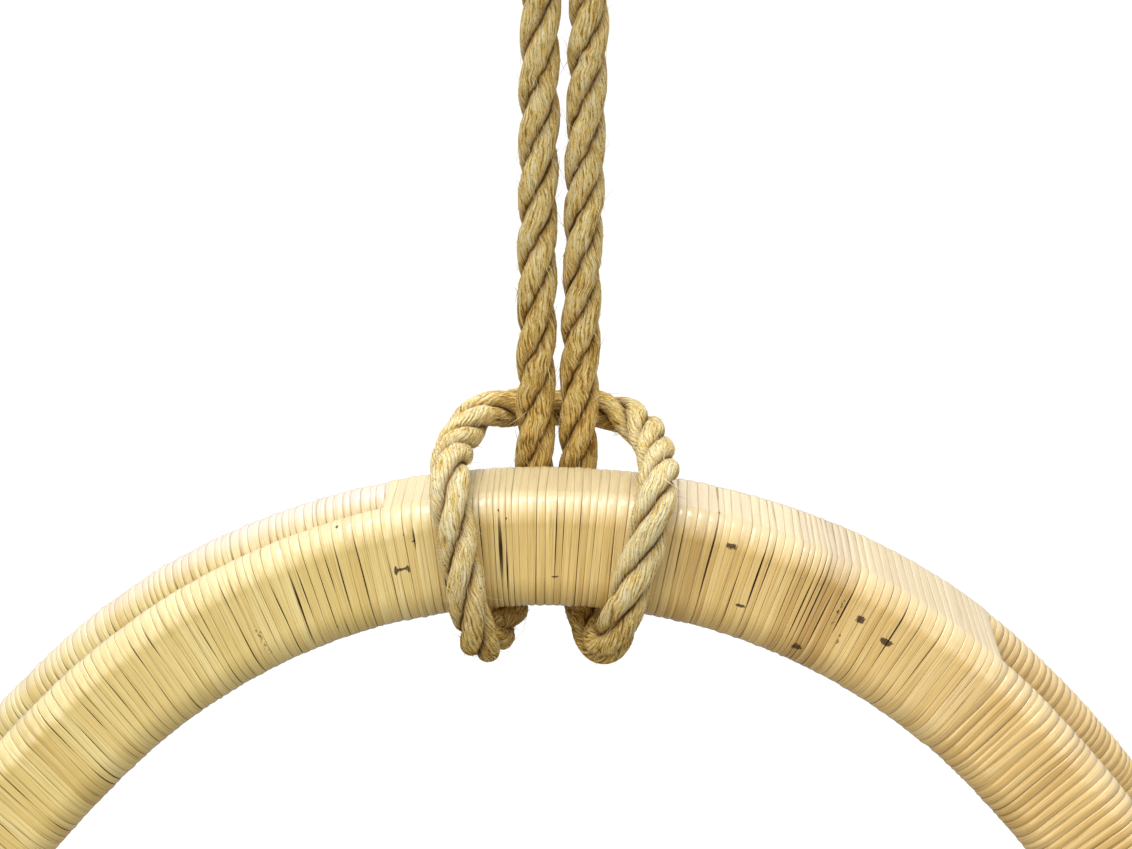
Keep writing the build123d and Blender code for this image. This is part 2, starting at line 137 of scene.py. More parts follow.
# ---------------------------------------------------------------- materials
class Nodes:
    """A material's node tree, built node by node."""

    def __init__(self, name):
        self.material = bpy.data.materials.new(name)
        self.material.use_nodes = True
        self.tree = self.material.node_tree
        self.shader = self.tree.nodes["Principled BSDF"]

    def add(self, kind, inputs=(), **settings):
        node = self.tree.nodes.new("ShaderNode" + kind)
        for key, value in settings.items():
            setattr(node, key, value)
        for key, value in dict(inputs).items():
            self.put(node.inputs[key], value)
        return node

    def put(self, socket, value):
        if isinstance(value, bpy.types.NodeSocket):
            self.tree.links.new(value, socket)
        else:
            socket.default_value = value

    def shade(self, **inputs):
        for key, value in inputs.items():
            self.put(self.shader.inputs[key.replace("_", " ")], value)
        return self.material

    def attribute(self, name, output="Fac"):
        return self.add("Attribute", attribute_name=name).outputs[output]

    def noise(self, vector, scale, detail=3.0, stretch=(1, 1, 1), rough=0.5):
        mapped = self.add("Mapping", {"Vector": vector, "Scale": stretch}).outputs[0]
        inputs = {"Vector": mapped, "Scale": scale, "Detail": detail, "Roughness": rough}
        return self.add("TexNoise", inputs).outputs["Fac"]

    def ramp(self, value, stops):
        node = self.add("ValToRGB", {"Fac": value})
        band = node.color_ramp
        while len(band.elements) < len(stops):
            band.elements.new(0.5)
        for element, (at, colour) in zip(band.elements, stops):
            element.position = at
            element.color = (*colour, 1)
        return node.outputs["Color"]

    def mix(self, factor, a, b, blend="MIX"):
        """Two colours mixed, where inputs 6 and 7 and output 2 are the node's colour sockets."""
        node = self.add("Mix", data_type="RGBA", blend_type=blend)
        self.put(node.inputs[0], factor)
        for socket, colour in ((6, a), (7, b)):
            self.put(node.inputs[socket], (*colour, 1) if isinstance(colour, tuple) else colour)
        return node.outputs[2]

    def tinted(self, colour, tint):
        return self.mix(1.0, colour, tint, "MULTIPLY")

    def math(self, operation, a, b=0.0):
        node = self.add("Math", operation=operation)
        for socket, value in zip(node.inputs, (a, b)):
            self.put(socket, value)
        return node.outputs[0]

    def plus(self, a, b):
        return self.math("ADD", a, b)

    def times(self, a, b):
        return self.math("MULTIPLY", a, b)

    def span(self, value, low, high, to_low=0.0, to_high=1.0):
        return self.add("MapRange", {"Value": value, "From Min": low, "From Max": high, "To Min": to_low,
                                     "To Max": to_high}).outputs[0]

    def bump(self, height, distance, strength):
        return self.add("Bump", {"Height": height, "Distance": distance, "Strength": strength}).outputs[0]


def cane_material():
    """Split cane: glossy straw skin with grain along each strip, each turn its own tone, dark gaps, and
    painted light that makes it paler and greyer where it faces up.
    """
    n = Nodes("split_cane")
    along = n.attribute("cane", "Vector")
    tone, gap, warm, stain, top, blush = (
        n.attribute(name) for name in ("tone", "gap", "warm", "stain", "top", "blush"))
    fine = n.noise(along, 1.0, 3.0, (0.024, 1.7, 1.0), 0.62)
    broad = n.noise(along, 1.0, 2.0, (0.010, 0.55, 1.0))
    mottle = n.noise(along, 1.0, 4.0, (0.16, 0.5, 1.0), 0.65)
    shade = n.plus(n.times(tone, 0.6), n.times(broad, 0.45))
    colour = n.ramp(shade, [(0.08, (0.84, 0.68, 0.34)), (0.36, (0.76, 0.575, 0.225)),
                            (0.62, (0.68, 0.48, 0.155)), (0.95, (0.46, 0.28, 0.07))])
    colour = n.mix(warm, n.tinted(colour, (0.97, 1.00, 0.95)), n.tinted(colour, (1.00, 0.90, 0.84)))
    # Painted light: where the cane faces up it is mixed towards a paler, greyer cream, pinker on the rear
    # hoop.
    painted_top_light = n.mix(blush, (0.66, 0.63, 0.49), (0.66, 0.57, 0.49))
    colour = n.mix(n.times(top, 0.46), colour, painted_top_light)
    # Streaks along the strip, brown and cream, fainter where the cane faces up, as part of the painted light
    # there.
    plain = n.span(top, 0.0, 1.0, 1.0, 0.35)
    colour = n.mix(n.times(n.span(fine, 0.52, 0.68, 0.0, 0.70), plain), colour, (0.36, 0.215, 0.06))
    colour = n.mix(n.times(n.span(fine, 0.48, 0.28, 0.0, 0.42), plain), colour, (0.90, 0.78, 0.50))
    specks = n.noise(along, 1.0, 2.0, (0.9, 1.9, 1.0), 0.7)
    dots = n.times(n.span(specks, 0.70, 0.78), n.span(mottle, 0.50, 0.60))
    colour = n.mix(n.times(dots, 0.6), colour, (0.20, 0.11, 0.03))
    ragged = n.noise(along, 1.0, 3.0, (0.50, 0.65, 1.0), 0.75)
    mark = n.span(n.plus(stain, ragged), 0.84, 0.95)
    colour = n.mix(n.times(mark, 0.94), colour, (0.060, 0.028, 0.008))
    # The gaps are painted less dark where the cane faces up, as part of the same painted light.
    seam = n.times(gap, n.span(top, 0.0, 1.0, 1.0, 0.5))
    colour = n.mix(seam, colour, (0.030, 0.014, 0.003))
    dull = n.math("MAXIMUM", gap, n.times(mark, 0.9))
    height = n.plus(n.times(fine, 0.8), n.times(broad, 0.2))
    height = n.math("SUBTRACT", height, n.times(mark, 0.5))
    rough = n.plus(n.span(broad, 0.3, 0.7, 0.20, 0.32), n.times(dull, 0.6))
    coat = n.span(dull, 0.0, 0.6, 0.35, 0.0)
    return n.shade(Base_Color=colour, Roughness=rough, Normal=n.bump(height, 0.0003, 0.28),
                   Specular_IOR_Level=0.45, Coat_Weight=coat, Coat_Roughness=0.14)


def fibre_material(name, light, middle, dark, yarns, scale=1.0):
    """Natural fibre, laid: streaks that follow the yarns, painted shade in the grooves between strands and
    between yarns, painted light and shade read from an attribute, and bright flecks painted as glints.
    """
    n = Nodes(name)
    straight = n.attribute("fibre", "Vector")
    crease, pale = n.attribute("crease"), n.attribute("pale")
    mapped = n.add("Mapping", {"Vector": straight, "Scale": (0.5, 0.5, 0.13)}).outputs[0]
    stray = n.add("TexNoise", {"Vector": mapped, "Scale": scale, "Detail": 2.0}).outputs["Color"]
    moved = n.add("VectorMath", {0: stray, 1: (0.9, 0.9, 0.0), 2: straight}, operation="MULTIPLY_ADD")
    along = moved.outputs[0]
    hairs = n.noise(along, scale, 4.0, (1.20, 1.20, 0.130), 0.74)
    wisps = n.noise(along, scale, 3.0, (0.60, 0.60, 0.075), 0.65)
    patches = n.noise(along, scale, 3.0, (0.16, 0.16, 0.055))
    flecks = n.noise(along, scale, 2.0, (2.1, 2.1, 0.42), 0.7)
    axes = n.add("SeparateXYZ", {"Vector": along}).outputs
    turn = n.math("ARCTAN2", axes["Y"], axes["X"])
    turn = n.plus(n.times(turn, yarns / 2), n.times(patches, 2.2))
    ridge = n.math("ABSOLUTE", n.math("COSINE", turn))
    shade = n.plus(n.times(hairs, 0.62), n.times(wisps, 0.38))
    # Painted light: where it is high, the streaks move towards the ramp's lightest colour, a painted
    # highlight.
    shade = n.plus(shade, n.times(pale, 0.060))
    colour = n.ramp(shade, [(0.435, dark), (0.482, middle), (0.526, light), (0.580, (0.98, 0.90, 0.60))])
    colour = n.mix(n.span(patches, 0.42, 0.66, 0.0, 0.30), colour, middle)
    # Painted shade in the valleys between yarns.
    colour = n.mix(n.span(ridge, 0.42, 0.0, 0.0, 0.50), colour, dark)
    # Bright flecks: painted glints of light on loose fibres.
    colour = n.mix(n.span(flecks, 0.60, 0.68, 0.0, 0.80), colour, (0.96, 0.84, 0.50))
    colour = n.mix(n.span(flecks, 0.41, 0.33, 0.0, 0.80), colour, (0.12, 0.055, 0.010))
    # Painted light and shade: browner where the painted light is low, and painted shade down the sides of
    # each strand.
    colour = n.mix(n.span(pale, 1.1, -0.7), colour, n.tinted(colour, (0.96, 0.86, 0.60)))
    colour = n.mix(n.span(crease, 0.48, 0.06, 0.0, 0.80), colour, n.tinted(colour, (0.50, 0.38, 0.25)))
    # Painted shade: near-black in the grooves between strands, broken up by the fibre streaks.
    groove = n.times(n.span(crease, 0.16, 0.0), n.span(hairs, 0.62, 0.42, 0.35, 1.0))
    colour = n.mix(groove, colour, (0.080, 0.034, 0.006))
    height = n.plus(n.plus(hairs, n.times(ridge, 0.35)), n.times(flecks, 0.45))
    return n.shade(Base_Color=colour, Roughness=n.span(hairs, 0.3, 0.7, 0.80, 0.50),
                   Normal=n.bump(height, 0.0017, 1.0), Specular_IOR_Level=0.14)


def rod_material():
    """Rattan with its skin on: long grain, a dark ring at each node, small stains."""
    n = Nodes("rattan_skin")
    along = n.attribute("grain", "Vector")
    node, tone = n.attribute("node"), n.attribute("tone")
    fine = n.noise(along, 1.0, 4.0, (1.5, 1.5, 0.03), 0.6)
    broad = n.noise(along, 1.0, 3.0, (0.10, 0.10, 0.012))
    shade = n.plus(n.times(tone, 0.4), n.times(broad, 0.6))
    colour = n.ramp(shade, [(0.25, (0.74, 0.56, 0.29)), (0.55, (0.60, 0.42, 0.18)),
                            (0.8, (0.42, 0.26, 0.09))])
    colour = n.mix(n.span(fine, 0.5, 0.75, 0.0, 0.5), colour, (0.33, 0.19, 0.06))
    stain = n.noise(along, 1.0, 3.0, (0.35, 0.35, 0.22), 0.7)
    colour = n.mix(n.span(stain, 0.62, 0.74, 0.0, 0.5), colour, (0.22, 0.12, 0.04))
    colour = n.mix(n.times(node, 0.75), colour, (0.20, 0.11, 0.04))
    return n.shade(Base_Color=colour, Roughness=n.span(broad, 0.3, 0.7, 0.30, 0.48),
                   Normal=n.bump(fine, 0.0004, 0.5), Specular_IOR_Level=0.5, Coat_Weight=0.15,
                   Coat_Roughness=0.3)


def pole_material():
    """Rattan under the cane, and the waste cane packed at the crown."""
    n = Nodes("rattan_core")
    where = n.add("TexCoord").outputs["Object"]
    grain = n.noise(where, 420.0, 4.0, (0.25, 1.0, 1.0), 0.6)
    broad = n.noise(where, 40.0, 3.0)
    colour = n.ramp(grain, [(0.35, (0.30, 0.18, 0.07)), (0.55, (0.50, 0.34, 0.15)),
                            (0.72, (0.62, 0.46, 0.23))])
    colour = n.mix(n.span(broad, 0.45, 0.7, 0.0, 0.4), colour, (0.34, 0.21, 0.08))
    return n.shade(Base_Color=colour, Roughness=n.span(grain, 0.3, 0.7, 0.5, 0.7),
                   Normal=n.bump(grain, 0.0005, 0.5))


def metal_material(name, dark, light, smooth, rough, grain=(1.0, 1.0, 1.0)):
    """Satin metal with fine brushing, faint smudges and worn spots."""
    n = Nodes(name)
    where = n.add("TexCoord").outputs["Object"]
    brush = n.noise(where, 900.0, 3.0, grain, 0.6)
    smudge = n.noise(where, 60.0, 4.0, (1, 1, 1), 0.6)
    pits = n.noise(where, 700.0, 2.0)
    colour = n.ramp(n.plus(n.times(brush, 0.5), n.times(smudge, 0.5)),
                    [(0.36, dark), (0.62, light)])
    colour = n.mix(n.span(pits, 0.70, 0.78, 0.0, 0.45), colour, tuple(0.45 * c for c in dark))
    roughness = n.plus(n.span(smudge, 0.35, 0.65, smooth, rough), n.times(brush, 0.06))
    return n.shade(Base_Color=colour, Metallic=1.0, Roughness=roughness, Normal=n.bump(brush, 0.00006, 0.5))


def floor_material():
    """Nearly white, faintly clouded."""
    n = Nodes("pale_floor")
    where = n.add("TexCoord").outputs["Object"]
    cloud = n.noise(where, 3.0, 4.0)
    colour = n.ramp(cloud, [(0.3, (0.955, 0.955, 0.955)), (0.7, (0.975, 0.975, 0.972))])
    return n.shade(Base_Color=colour, Roughness=0.7, Specular_IOR_Level=0.1)


CANE, ROD, CORE = cane_material(), rod_material(), pole_material()
ROPE = fibre_material("laid_rope", (0.99, 0.770, 0.300), (0.80, 0.545, 0.155), (0.270, 0.130, 0.020), YARNS)
TWINE = fibre_material("tarred_twine", (0.46, 0.33, 0.15), (0.33, 0.22, 0.09), (0.16, 0.09, 0.03), 4, 2.5)
STEEL = metal_material("satin_steel", (0.40, 0.40, 0.41), (0.66, 0.66, 0.67), 0.26, 0.42, (1.0, 1.0, 0.12))
NAIL = metal_material("dull_nails", (0.12, 0.10, 0.08), (0.34, 0.30, 0.24), 0.42, 0.6)
BRASS = metal_material("turned_brass", (0.42, 0.26, 0.08), (0.72, 0.52, 0.22), 0.25, 0.4)


# ---------------------------------------------------------------- the suspension rope
# The same points as the CAD route, their heights above the crown's top.
HITCH_LEFT = [
    (-0.0107, 0.0002, -0.011), (-0.012, 0.0078, -0.042), (-0.0145, 0.0015, -0.058),
    (-0.0185, -0.013, -0.068), (-0.0245, -0.038, -0.0725), (-0.030, -0.063, -0.0775),
    (-0.036, -0.086, -0.0695), (-0.041, -0.095, -0.047),
    (-0.046, -0.090, -0.020), (-0.050, -0.084, 0.0), (-0.0515, -0.069, 0.0105), (-0.0515, -0.041, 0.0115),
    (-0.048, -0.012, 0.014), (-0.038, 0.012, 0.019), (-0.021, 0.0224, 0.0196),
]
HITCH_RIGHT = [
    (0.021, 0.0224, 0.0192), (0.036, 0.014, 0.0178), (0.047, -0.009, 0.014), (0.050, -0.041, 0.011),
    (0.0505, -0.069, 0.0105), (0.0475, -0.084, -0.0005), (0.0425, -0.090, -0.021), (0.035, -0.095, -0.045),
    (0.0285, -0.087, -0.068), (0.022, -0.064, -0.0775), (0.017, -0.039, -0.0725), (0.0135, -0.013, -0.068),
    (0.0123, 0.0015, -0.058), (0.011, 0.0078, -0.042), (0.0107, 0.0002, -0.011),
]
STANDING_FOOT = 0.021          # where the standing parts begin, above the crown's top
THIMBLE_R, THIMBLE_RISE = 0.030, 0.375


def thimble_points():
    """The corners of the route round the thimble, from the right standing part to the left one."""
    turn = math.radians(48)
    reach = THIMBLE_R / math.cos(turn / 2)
    angles = [math.radians(-6) + turn * i for i in range(5)]
    round_it = [(reach * math.cos(a), 0.0, THIMBLE_RISE + reach * math.sin(a)) for a in angles]
    return [(0.0123, 0.0, 0.3363), *round_it, (-0.0123, 0.0, 0.3363)]


ROUTE = [
    (-0.0122, 0.0, 0.295), (-0.0109, 0.0, STANDING_FOOT), *HITCH_LEFT,
    *HITCH_RIGHT, (0.0109, 0.0, STANDING_FOOT), (0.0122, 0.0, 0.299),
    *thimble_points(), (-0.0122, 0.0, 0.298),
]


def spline_line(points):
    """Points along the smooth spline that has the route's points as its control points."""
    curve = bpy.data.curves.new("route", "CURVE")
    curve.dimensions = "3D"
    spline = curve.splines.new("NURBS")
    spline.points.add(len(points) - 1)
    for corner, (x, y, z) in zip(spline.points, points):
        corner.co = (x, y, z + CROWN_Z, 1.0)
    spline.order_u = 3
    spline.use_endpoint_u = True
    spline.resolution_u = 40
    holder = bpy.data.objects.new("route", curve)
    mesh = bpy.data.meshes.new_from_object(holder)
    line = np.array([vertex.co[:] for vertex in mesh.vertices])
    bpy.data.meshes.remove(mesh)
    bpy.data.objects.remove(holder)
    bpy.data.curves.remove(curve)
    return line


def spaced(line, step):
    """The same line with its points an even step apart, and how far along it each is."""
    run = np.concatenate([[0], np.cumsum(np.linalg.norm(np.diff(line, axis=0), axis=1))])
    keep = np.concatenate([[True], np.diff(run) > 1e-9])
    line, run = line[keep], run[keep]
    even = np.linspace(0, run[-1], int(run[-1] / step) + 1)
    return np.stack([np.interp(even, run, line[:, k]) for k in range(3)], 1), even


def frames(line, side):
    """Tangent and two cross directions at each point, from a side on, turning as little as they can."""
    tangent = np.gradient(line, axis=0)
    tangent /= np.linalg.norm(tangent, axis=1)[:, None]
    across = np.empty_like(tangent)
    last = np.asarray(side, float)
    for i, t in enumerate(tangent):
        last = last - t * (last @ t)
        last /= np.linalg.norm(last)
        across[i] = last
    return tangent, across, np.cross(tangent, across)


def laid_tube(line, run, side, radius, lay, columns, relief, start=0.0):
    """Three strands laid up right-handed round a line: its points, what the material reads of them, and
    the directions along the line and out of the surface."""
    def wander(at, longest, shortest, count, seed):
        return wave(at, longest * radius, shortest * radius, count, seed)

    tangent, across, up = frames(line, side)
    bend = np.linalg.norm(np.gradient(tangent, axis=0), axis=1) / np.gradient(run)
    bend = np.convolve(np.pad(bend, 6, "edge"), np.ones(13) / 13, "valid")[:, None]
    per = columns // 3
    share = np.tile(np.arange(per) * 2 / per - 1, 3)[None, :]        # -1 to 1 from groove to groove
    strand = np.repeat(np.arange(3), per)[None, :]
    s = run[:, None]
    twist = start + 2 * math.pi * s / lay + 0.09 * wander(s, 14, 4, 5, 0)
    swell = np.stack([wander(run, 12, 2.4, 6, 1 + k) for k in range(3)], 1)[:, strand[0]]
    # The yarns turn round each strand as it runs on, and a groove is deeper where the rope bends.
    yarn_fan, yarn_turns, groove = math.radians(126), 2.1, 0.34
    turned = share * yarn_fan + yarn_turns * 2 * math.pi * s / lay
    turned = turned + 0.30 * wander(s + 0.31 * strand, 9, 3, 5, 5)
    deep = groove * (1 + 0.16 * wander(s + strand, 10, 3, 5, 7)) + 1.1 * radius * bend * 0.35
    body = 1 - deep * np.abs(share) ** 2.4 + 0.022 * swell * (1 - share ** 2)
    slump = 0.035 * share * (1 - share ** 2) * wander(s + 2.0 * strand, 9, 3, 5, 8)
    ridge = np.cos(turned * YARNS) * (1 - share ** 4)
    ridge = ridge * (0.6 + 0.5 * wander(s + 0.7 * strand, 8, 1.5, 5, 9))
    reach = radius * (body + slump) + relief * ridge
    # Each groove strays a little from its even lay, and the strands' surfaces follow it.
    stray = np.stack([0.055 * wander(run, 2.4, 0.6, 7, 11 + k) for k in range(3)], 1)
    before, after = stray[:, strand[0]], np.roll(stray, -1, axis=1)[:, strand[0]]
    stray = before * (1 - share) / 2 + after * (1 + share) / 2
    azimuth = twist + strand * 2 * math.pi / 3 + share * math.pi / 3 + stray
    x, y = reach * np.cos(azimuth), reach * np.sin(azimuth)
    out = x[..., None] * across[:, None] + y[..., None] * up[:, None]
    crease = 1 - np.abs(share) + 0 * s
    yarn = 500 * radius
    along = 1000 * s + 400.0 * strand + 0 * turned
    fibre = np.stack([yarn * np.cos(turned), yarn * np.sin(turned), along], -1)
    outward = out / np.linalg.norm(out, axis=-1)[..., None]
    return line[:, None] + out, {"crease": crease, "fibre": fibre}, tangent, outward


def tube_mesh(name, points, looks, material):
    """A tube's mesh, its ends narrowed to a small closed ring."""
    ends = [points[0].mean(0), points[-1].mean(0)]
    shut = [ends[i] + 0.02 * (points[-i] - ends[i]) for i in (0, 1)]
    points = np.concatenate([shut[0][None], points, shut[1][None]])
    looks = {key: np.concatenate([value[:1], value, value[-1:]]) for key, value in looks.items()}
    return mesh_of(name, points, grid_faces(len(points), points.shape[1]), material, **looks)


def hair_mesh(name, points, looks, tangent, outward, count, material, longest):
    """Broken fibres that stand off a laid rope's surface, each a thin tapered sliver."""
    rings_each, sides = 6, 3
    per = rings_each * sides
    row = rng.integers(2, len(points) - 2, count)
    column = rng.integers(0, points.shape[1], count)
    root, out = points[row, column], outward[row, column]
    flow = tangent[row] * np.where(rng.random(count) < 0.5, 1, -1)[:, None]
    aside = np.cross(out, flow)
    start = flow + rng.normal(0, 0.45, count)[:, None] * aside
    start = start + (0.08 + 0.6 * rng.random(count) ** 2)[:, None] * out
    start /= np.linalg.norm(start, axis=1)[:, None]
    pull = rng.normal(0, 0.40, (count, 3)) + out * rng.normal(0.0, 0.35, count)[:, None]
    length = longest * (0.16 + 0.84 * rng.random(count) ** 3)[:, None]
    radius = (0.07 + 0.11 * rng.random(count) ** 2)[:, None] * MM
    side = np.cross(start, out)
    side /= np.linalg.norm(side, axis=1)[:, None]
    other = np.cross(start, side)
    corners = []
    for t in np.linspace(0, 1, rings_each):
        middle = root + length * (t * start + 0.5 * t * t * pull)
        for a in 2 * math.pi / sides * np.arange(sides):
            corners.append(middle + radius * (1 - 0.7 * t) * (math.cos(a) * side + math.sin(a) * other))
    faces = (grid_faces(rings_each, sides)[None] + per * np.arange(count)[:, None, None]).reshape(-1, 4)
    tint = looks["fibre"][row, column] + rng.normal(0, 9, (count, 3))
    # Each hair takes the rope's painted light and shade at its root, shifted paler at random.
    pale = looks["pale"][row, column] + rng.normal(0.7, 1.1, count)
    return mesh_of(name, np.stack(corners, 1), faces, material, crease=np.ones(per * count),
                   fibre=np.repeat(tint, per, axis=0), pale=np.repeat(pale, per))


def rubbed_pale(points):
    """Painted light and shade on the rope: lighter on the front of the hitch and on its upper corners, where
    the light falls, and up the standing parts; darker, as painted shade, where it is pinched at the frame
    and underneath."""
    def rise(value, start, over):
        return np.clip((value - start) / over, 0, 1)

    aside, back, height = np.abs(points[..., 0]), points[..., 1], points[..., 2] - CROWN_Z
    in_front = rise(-back, 0.02, 0.06) * rise(height, -0.085, 0.09)
    arched = rise(aside, 0.020, 0.018) * rise(height, -0.012, 0.016)
    shade_at_frame = rise(-np.abs(height - 0.01), -0.09, 0.09) * rise(back, -0.03, 0.03)
    above, under = rise(height, 0.05, 0.06), rise(-height, 0.045, 0.03)
    return np.maximum(in_front, 0.8 * arched) + 0.45 * above - 0.15 * shade_at_frame - 0.33 * under


rope_line, rope_run = spaced(spline_line(ROUTE), 1.62 * MM)
points, looks, tangent, outward = laid_tube(rope_line, rope_run, (0, -1, 0), ROPE_R, ROPE_LAY,
                                            columns=96, relief=0.16 * MM, start=1.55)
# The rope's painted light and shade, kept as an attribute that the rope's material reads.
looks["pale"] = rubbed_pale(points)
rope = link("laid_rope", tube_mesh("laid_rope", points, looks, ROPE), "chair")
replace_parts(rope, "suspension_rope")
hairs_mesh = hair_mesh("rope_hairs", points, looks, tangent, outward, 5600, ROPE, 11 * MM)
hairs = link("rope_hairs", hairs_mesh, "chair")


# ---------------------------------------------------------------- twine seizing
def seizing_line(turns, twine):
    """The twine's middle line, wound round both standing parts."""
    low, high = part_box("rope_seizing")[0][2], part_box("rope_seizing")[1][2]
    half = 12.3 * MM                # of the distance between the standing parts
    bend = ROPE_R + 0.3 * MM + twine / 2
    straight, arc = 2 * half, math.pi * bend
    round_it = 2 * (straight + arc)
    travel = np.linspace(0, turns * round_it, int(turns * 64))
    at = np.mod(travel, round_it)
    x, y = np.zeros_like(at), np.zeros_like(at)
    for i, sign in ((0, 1), (1, -1)):
        part = at - i * (straight + arc)
        on = (part >= 0) & (part < straight)
        x[on], y[on] = sign * (part[on] - half), -sign * bend
        on = (part >= straight) & (part <= straight + arc)
        angle = (part[on] - straight) / bend - math.pi / 2
        x[on], y[on] = sign * (half + bend * np.cos(angle)), sign * bend * np.sin(angle)
    z = low + twine * 0.55 + (high - low - 1.1 * twine) * travel / travel[-1]
    return np.stack([x, y, z], 1)


twine_line, twine_run = spaced(seizing_line(13, TWINE_PITCH), 1.5 * MM)
points, looks, *_ = laid_tube(twine_line, twine_run, (0, 0, 1), TWINE_R, TWINE_LAY, columns=12, relief=0.0)
looks["pale"] = 0 * looks["crease"]
seizing = link("twine_seizing", tube_mesh("twine_seizing", points, looks, TWINE), "chair")
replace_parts(seizing, "rope_seizing")


# ---------------------------------------------------------------- hoops
class Hoop:
    """One hoop's leaning plane: its origin at the crown's top, and the ways up and towards the front."""

    def __init__(self, y, lean):
        tilt = math.radians(lean)
        self.origin = np.array([0, y, CROWN_Z])
        self.up = np.array([0, math.sin(tilt), math.cos(tilt)])
        self.toward = np.array([0, -math.cos(tilt), math.sin(tilt)])

    def at(self, x, y, z=0.0):
        """A point from the plane's own coordinates: right, up, and towards the front."""
        x, y, z = np.broadcast_arrays(x, y, z)
        right = np.array([1.0, 0, 0])
        return self.origin + x[..., None] * right + y[..., None] * self.up + z[..., None] * self.toward


FRONT, REAR = Hoop(FRONT_Y, FRONT_LEAN), Hoop(REAR_Y, REAR_LEAN)


def toward(heading):
    """A step of one, right and up, at a heading from a hoop's top."""
    return np.array([math.sin(math.radians(heading)), math.cos(math.radians(heading))])


CROWN_C = np.array([0, -(CROWN_R + HOOP_TOP)])
RIGHT_C = CROWN_C + toward(CROWN_TURN) * (CROWN_R - SIDE_R)
SEAT_C = RIGHT_C + toward(SIDE_TURN) * (SIDE_R - SEAT_R)
LEFT_C = RIGHT_C * (-1, 1)
ARCS = [(CROWN_C, CROWN_R, -CROWN_TURN, CROWN_TURN), (RIGHT_C, SIDE_R, CROWN_TURN, SIDE_TURN),
        (SEAT_C, SEAT_R, SIDE_TURN, 360 - SIDE_TURN), (LEFT_C, SIDE_R, 360 - SIDE_TURN, 360 - CROWN_TURN)]


def flat_point(heading, outward=0.0):
    """Right and up coordinates in a hoop's plane, at headings from its top."""
    heading = np.mod(np.asarray(heading, float) + CROWN_TURN, 360) - CROWN_TURN
    x, y = np.zeros(np.broadcast(heading, outward).shape), np.zeros(np.broadcast(heading, outward).shape)
    sin, cos = np.sin(np.radians(heading)), np.cos(np.radians(heading))
    for centre, radius, first, last in ARCS:
        on = (heading >= first) & (heading <= last)
        x = np.where(on, centre[0] + (radius + outward) * sin, x)
        y = np.where(on, centre[1] + (radius + outward) * cos, y)
    return x, y


def radius_at(heading):
    """The radius of a hoop's middle line at each heading."""
    heading = np.mod(np.asarray(heading, float) + CROWN_TURN, 360) - CROWN_TURN
    return np.select([heading <= CROWN_TURN, heading <= SIDE_TURN, heading <= 360 - SIDE_TURN],
                     [CROWN_R, SIDE_R, SEAT_R], SIDE_R)


def hoop_surface(hoop, fine):
    """A hoop's section from the middle of its back, round its inner side to its front: the function that
    places its columns, how far round each column is, and how strongly the cane bends there."""
    # How many points there are on each bend, along the front, and on half of the back.
    ends, flats, half = (16, 22, 3) if fine else (10, 3, 1)
    recipe = [(-1, -0.5 * i / half, None) for i in range(half)]
    recipe += [(-1, None, -90 - 180 * i / ends) for i in range(ends)]
    recipe += [(1, i / flats - 0.5, None) for i in range(flats)]
    recipe += [(1, None, 90 - 180 * i / ends) for i in range(ends)]
    recipe += [(-1, 0.5 - 0.5 * i / half, None) for i in range(half)]
    place, normal, arch = [], [], []
    for side, share, angle in recipe:
        a = math.radians(angle if share is None else 90 * side)
        base = side * POLE_OFFSET if share is None else 2 * share * POLE_OFFSET
        normal.append((math.cos(a), math.sin(a)))
        place.append((base + CANE_FACE * normal[-1][0], CANE_FACE * normal[-1][1]))
        arch.append(1.0 if share is None else 0.0)
    place, normal, arch = np.array(place), np.array(normal), np.array(arch)

    def surface(heading, lift):
        out = place[:, 0] + lift * normal[:, 0]
        return hoop.at(*flat_point(heading, out), place[:, 1] + lift * normal[:, 1])

    return surface, around(place), arch


